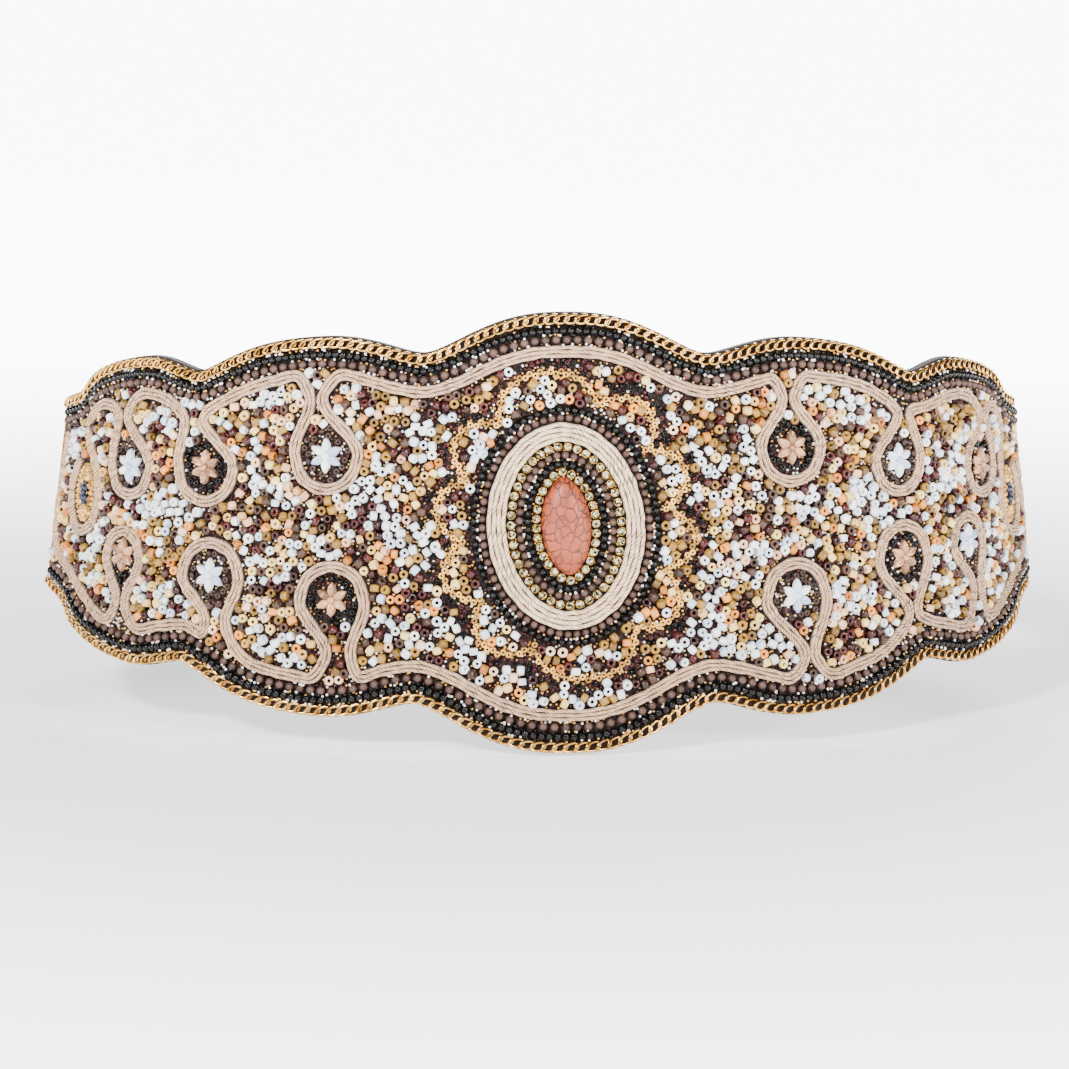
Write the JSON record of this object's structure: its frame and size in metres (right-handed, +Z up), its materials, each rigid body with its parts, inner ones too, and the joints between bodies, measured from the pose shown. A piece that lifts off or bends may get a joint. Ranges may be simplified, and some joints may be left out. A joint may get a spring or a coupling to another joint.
{
  "type": "beaded waist belt",
  "caption": "Wide waist belt: a scalloped front panel covered in beads, chain and looped cords round an oval stone, closed by elastic straps behind.",
  "frame": {"origin": "middle of the waist hollow, at the panel's mid height", "axes": "+Z up, the worn front faces -Y, +X to the right seen from the front"},
  "size_m": [0.29, 0.235, 0.1202],
  "materials": {
    "panel": "dark brown suede cloth over a stiff backing",
    "gold_chain": "polished gold plating",
    "gold_bead": "pale gold, bright",
    "black_bead": "opaque black glass, glossy",
    "brown_bead": "taupe brown, satin",
    "cord": "silky twisted cream cord",
    "crystal": "clear cut glass in gold cups",
    "stone": "coral pink with brown veins, satin polish",
    "white_flower": "pearly white",
    "copper_flower": "metallic copper",
    "navy_bead": "opaque dark blue glass",
    "elastic": "black ribbed elastic webbing",
    "clasp": "brushed gold plating"
  },
  "bodies": {
    "root": {"front_panel": "panel", "edge_chain_top": "gold_chain", "edge_chain_bottom": "gold_chain", "end_chain_left": "gold_chain", "end_chain_right": "gold_chain", "black_bead_row_top": "black_bead", "black_bead_row_bottom": "black_bead", "brown_bead_row_top": "brown_bead", "brown_bead_row_bottom": "brown_bead", "scroll_cord_top": "cord", "scroll_cord_bottom": "cord", "medallion_stone": "stone", "medallion_crystals_inner": "crystal", "medallion_black_beads_inner": "black_bead", "medallion_brown_beads_inner": "brown_bead", "medallion_crystals_outer": "crystal", "medallion_cord": "cord", "medallion_brown_beads_outer": "brown_bead", "medallion_black_beads_outer": "black_bead", "medallion_gold_star": "gold_bead", "flower_top_1": "white_flower", "flower_top_2": "copper_flower", "flower_top_3": "white_flower", "flower_top_4": "copper_flower", "flower_top_5": "white_flower", "flower_top_6": "copper_flower", "flower_bottom_1": "copper_flower", "flower_bottom_2": "white_flower", "flower_bottom_3": "copper_flower", "flower_bottom_4": "white_flower", "flower_bottom_5": "copper_flower", "flower_bottom_6": "white_flower", "end_oval_beads_left": "gold_bead", "end_oval_middle_left": "navy_bead", "end_oval_beads_right": "gold_bead", "end_oval_middle_right": "navy_bead", "strap_left": "elastic", "strap_right": "elastic", "back_clasp": "clasp"}
  },
  "joints": []
}
